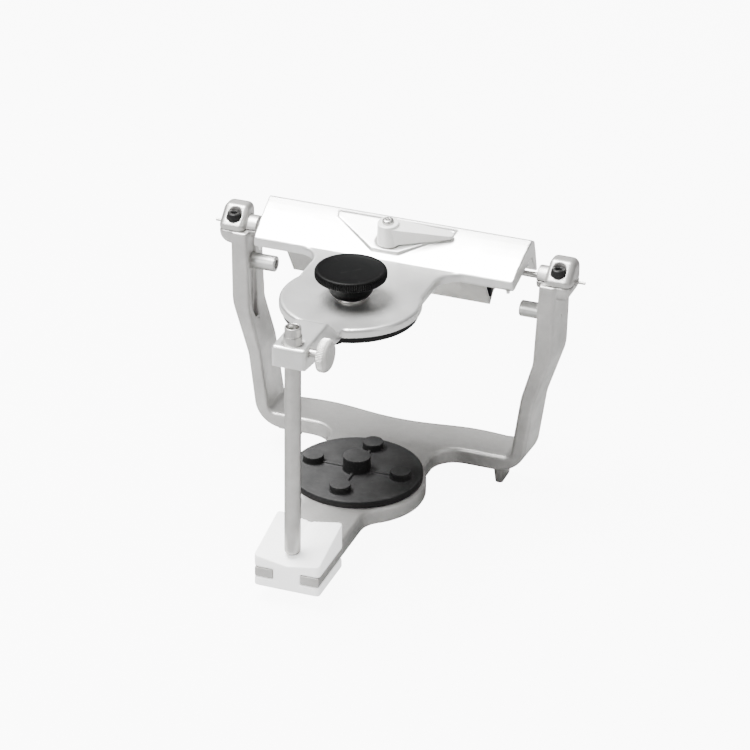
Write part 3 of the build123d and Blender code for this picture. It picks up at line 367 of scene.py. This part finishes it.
# ------------------------------------------------------------------ cast and moulded pieces
for node, voxel, rounds in (
    ("lower_frame", 0.45, 7),
    ("upper_frame", 0.42, 9),
    ("clamp_cap_left", 0.3, 12),
    ("clamp_cap_right", 0.3, 12),
    ("condyle_channel", 0.4, 2),
    ("latch_lever", 0.25, 9),
    ("incisal_table", 0.35, 14),
    ("lower_mounting_plate", 0.35, 4),
    ("upper_mounting_plate", 0.35, 4),
    ("stop_sleeve_left", 0.2, 3),
    ("stop_sleeve_right", 0.2, 3),
    ("lever_screw", 0.12, 3),
):
    soften(node, voxel, rounds)


# ------------------------------------------------------------------ turned pieces
def centre_of(node):
    low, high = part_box(node)
    return [(low[i] + high[i]) / 2 for i in range(3)], low, high


def upper_knob():
    middle, low, high = centre_of("upper_knob")
    height = (high[2] - low[2]) * 1000
    foot = [(3.0, 0.0, 0), (7.8, 0.0, 0), (9.5, 1.1, 0), (10.9, 3.2, 0), (11.6, 5.6, 0), (12.2, 7.2, 0)]
    underside = [(14.6, height - 5.9, 0), (16.6, height - 4.9, 0), (17.5, height - 4.3, 0)]
    rim = [(17.75, height - 3.7, 0.4), (17.8, height - 2.6, 0.45), (17.75, height - 1.2, 0.4)]
    lip = [(17.2, height - 0.35, 0), (16.4, height, 0), (15.6, height - 0.15, 0), (14.2, height - 0.55, 0)]
    dish = [(11.0, height - 1.05, 0), (6.0, height - 1.4, 0), (0.4, height - 1.5, 0)]
    rings = rounded(foot + underside + rim + lip + dish, 0.5)
    dress(lathe("upper_knob_turned", rings, (middle[0], middle[1], low[2]), teeth=100), "upper_knob")


def thumb_screw():
    middle, low, high = centre_of("pin_screw_head")
    width = (high[0] - low[0]) * 1000
    near_face = [(1.9, 0.0, 0), (6.7, 0.0, 0), (7.6, 0.35, 0)]
    knurl = [(8.1, 0.9, 0.4), (8.2, 1.6, 0.5), (8.2, width - 2.2, 0.5), (8.05, width - 1.7, 0.35)]
    crown = [(7.3, width - 0.75, 0), (6.3, width - 0.1, 0), (5.4, width, 0)]
    far_face = [(4.4, width - 0.12, 0), (0.3, width - 0.2, 0)]
    rings = rounded(near_face + knurl + crown + far_face, 0.35)
    obj = lathe("thumb_screw_turned", rings, (low[0], middle[1], middle[2]), "X", teeth=64)
    dress(obj, "pin_screw_head")


def screw_shank():
    middle, low, high = centre_of("pin_screw_shank")
    length = (high[0] - low[0]) * 1000
    pitch = 0.7
    crest = 1.95
    root = 1.62
    profile = [(0.2, 0.0, 0), (1.5, 0.0, 0)]
    place = 0.3
    while place < length - 5.2:
        profile += [(crest, place, 0), (root, place + pitch / 2, 0)]
        place += pitch
    profile += [(crest, length - 5.0, 0), (crest, length, 0), (0.2, length, 0)]
    obj = lathe("thumb_screw_thread", profile, (low[0], middle[1], middle[2]), "X", segments=48)
    dress(obj, "pin_screw_shank")


def pin_blade(middle, top):
    """The slanted bright blade in the pin's open top."""
    size = (0.0010, 0.0046, 0.0026)
    off_centre = 0.0009
    depth = 0.0026
    turned = math.radians(38)
    leaning = math.radians(24)
    blade = link("incisal_pin_blade", bpy.data.meshes.new("incisal_pin_blade"))
    bm = bmesh.new()
    bmesh.ops.create_cube(bm, size=1.0)
    bmesh.ops.scale(bm, vec=size, verts=bm.verts)
    bmesh.ops.bevel(bm, geom=bm.edges[:], offset=0.00025, segments=3, affect="EDGES")
    turn = Matrix.Rotation(turned, 4, "Z") @ Matrix.Rotation(leaning, 4, "Y")
    shift = Matrix.Translation((middle[0] + off_centre, middle[1], top - depth))
    bmesh.ops.transform(bm, matrix=shift @ turn, verts=bm.verts)
    bm.to_mesh(blade.data)
    bm.free()
    return blade


def incisal_pin():
    middle, low, high = centre_of("incisal_pin")
    length = (high[2] - low[2]) * 1000
    recess = 4.5
    tip = [(0.3, 0.0, 0), (1.9, 0.0, 0), (3.1, 0.55, 0), (3.8, 1.6, 0), (4.0, 2.6, 0)]
    rim = [(4.0, length - 0.3, 0), (3.85, length, 0), (3.2, length, 0), (3.0, length - 0.2, 0)]
    inside = [(3.0, length - recess, 0), (0.2, length - recess, 0)]
    rings = rounded(tip + rim + inside, 0.25)
    pin = lathe("incisal_pin_turned", rings, (middle[0], middle[1], low[2]))
    blade = pin_blade(middle, high[2])
    dress(pin, "incisal_pin")
    dress(blade, "incisal_pin")


def pin_collar():
    middle, low, high = centre_of("pin_collar")
    height = (high[2] - low[2]) * 1000
    bore = 4.06
    outside = [(bore, 0.0, 0), (4.7, 0.0, 0), (4.7, 0.5, 0), (4.5, 0.9, 0), (4.42, height - 0.5, 0)]
    top = [(4.3, height, 0), (4.08, height - 0.1, 0), (bore, 0.1, 0)]
    rings = rounded(outside + top, 0.2)
    dress(lathe("pin_collar_turned", rings, (middle[0], middle[1], low[2])), "pin_collar")


def cap_screws():
    low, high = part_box("cap_screws")
    radius = 3.5
    head = 4.0
    height = (high[2] - low[2]) * 1000
    shank = [(0.3, 0.0, 0), (1.6, 0.0, 0), (2.0, 0.4, 0), (2.0, height - head, 0)]
    knurl = [(3.3, height - head, 0), (radius, height - 3.6, 0.18), (radius, height - 0.9, 0.18)]
    crown = [(3.35, height - 0.35, 0), (3.0, height, 0), (2.1, height - 0.02, 0)]
    socket = [(1.62, height - 0.1, "hex"), (1.5, height - 0.3, "hex"), (1.5, height - 2.2, "hex")]
    profile = shank + knurl + crown + socket + [(0.2, height - 2.4, 0)]
    for side, name in ((-1, "left"), (1, "right")):
        place = (side * (high[0] - radius / 1000), (low[1] + high[1]) / 2, low[2])
        dress(lathe(f"cap_screw_{name}_turned", profile, place, teeth=36), "cap_screws")


def knob_washer():
    middle, low, high = centre_of("knob_washer")
    height = (high[2] - low[2]) * 1000
    inner = 3.35
    outer = 7.6
    under = [(inner, 0.0, 0), (outer - 0.2, 0.0, 0), (outer, 0.3, 0), (outer, height - 0.3, 0)]
    top = [(outer - 0.3, height, 0), (inner + 0.1, height, 0), (inner, 0.1, 0)]
    rings = rounded(under + top, 0.15)
    dress(lathe("knob_washer_turned", rings, (middle[0], middle[1], low[2])), "knob_washer")


upper_knob()
thumb_screw()
screw_shank()
incisal_pin()
pin_collar()
cap_screws()
knob_washer()

for node, obj in NODES.items():
    obj.data.materials.clear()
    obj.data.materials.append(MATERIALS[SLOT_OF[node]])

# ------------------------------------------------------------------ stage
floor = link("floor", bpy.data.meshes.new("floor"))
bm = bmesh.new()
bmesh.ops.create_grid(bm, x_segments=8, y_segments=8, size=6.0)
bm.to_mesh(floor.data)
bm.free()
floor_mat, floor_tree, floor_shader, floor_at = new_material("floor")
floor_tone = ramp(floor_tree, noise(floor_tree, floor_at, 3.0), [(0.3, grey(0.30)), (0.7, grey(0.33))])
floor_tree.links.new(floor_tone, floor_shader.inputs["Base Color"])
floor_shader.inputs["Roughness"].default_value = 0.8
floor_shader.inputs["Emission Color"].default_value = (1.0, 1.0, 1.0, 1.0)
floor_tree.links.new(camera_only(floor_tree, FLOOR_SEEN), floor_shader.inputs["Emission Strength"])
floor.data.materials.append(floor_mat)

world = bpy.data.worlds.new("studio")
bpy.context.scene.world = world
world.use_nodes = True
sky = world.node_tree
background = sky.nodes["Background"]
direction = sky.nodes.new("ShaderNodeTexCoord")
split = sky.nodes.new("ShaderNodeSeparateXYZ")
sky.links.new(direction.outputs["Generated"], split.inputs["Vector"])
shade = ramp(
    sky,
    span(sky, split.outputs["Z"], -0.2, 1.0, 0.0, 1.0),
    [(0.0, grey(0.10)), (0.3, grey(0.26)), (0.6, grey(0.55)), (1.0, grey(0.9))],
)
to_camera = sky.nodes.new("ShaderNodeLightPath")
seen = mix(sky, to_camera.outputs["Is Camera Ray"], shade, grey(BACKDROP_SEEN))
sky.links.new(seen, background.inputs["Color"])
background.inputs["Strength"].default_value = 0.8


def area_light(name, place, aim, size, power):
    data = bpy.data.lights.new(name, "AREA")
    data.shape = "RECTANGLE"
    data.size, data.size_y = size
    data.energy = power
    lamp = bpy.data.objects.new(name, data)
    lamp.location = place
    lamp.rotation_euler = (Vector(aim) - Vector(place)).to_track_quat("-Z", "Y").to_euler()
    bpy.context.scene.collection.objects.link(lamp)


area_light("overhead", (-0.38, 0.0, 1.2), (0.0, 0.0, 0.1), (0.75, 0.6), 66.0)
area_light("front", (-0.6, -1.5, 0.9), (0.0, 0.0, 0.08), (0.5, 0.6), 15.0)
area_light("side", (1.5, -0.5, 0.5), (0.0, 0.0, 0.08), (0.3, 0.8), 3.0)

# ------------------------------------------------------------------ camera
AZIMUTH, ELEVATION, ROLL = (math.radians(a) for a in (20.12, 28.10, 0.735))
TARGET = Vector((0.01058, 0.0091, 0.08211))
DISTANCE = 1.88824
back = Vector(
    (math.sin(AZIMUTH) * math.cos(ELEVATION), -math.cos(AZIMUTH) * math.cos(ELEVATION), math.sin(ELEVATION))
)
across = Vector((math.cos(AZIMUTH), math.sin(AZIMUTH), 0.0))
upward = back.cross(across)
right = across * math.cos(ROLL) + upward * math.sin(ROLL)
up = upward * math.cos(ROLL) - across * math.sin(ROLL)
camera_data = bpy.data.cameras.new("camera")
camera_data.sensor_width = 36.0
camera_data.lens = 184.35
camera_data.clip_end = 20.0
camera = bpy.data.objects.new("camera", camera_data)
bpy.context.scene.collection.objects.link(camera)
turn = Matrix((right, up, back)).transposed().to_4x4()
camera.matrix_world = Matrix.Translation(TARGET + back * DISTANCE) @ turn
bpy.context.scene.camera = camera
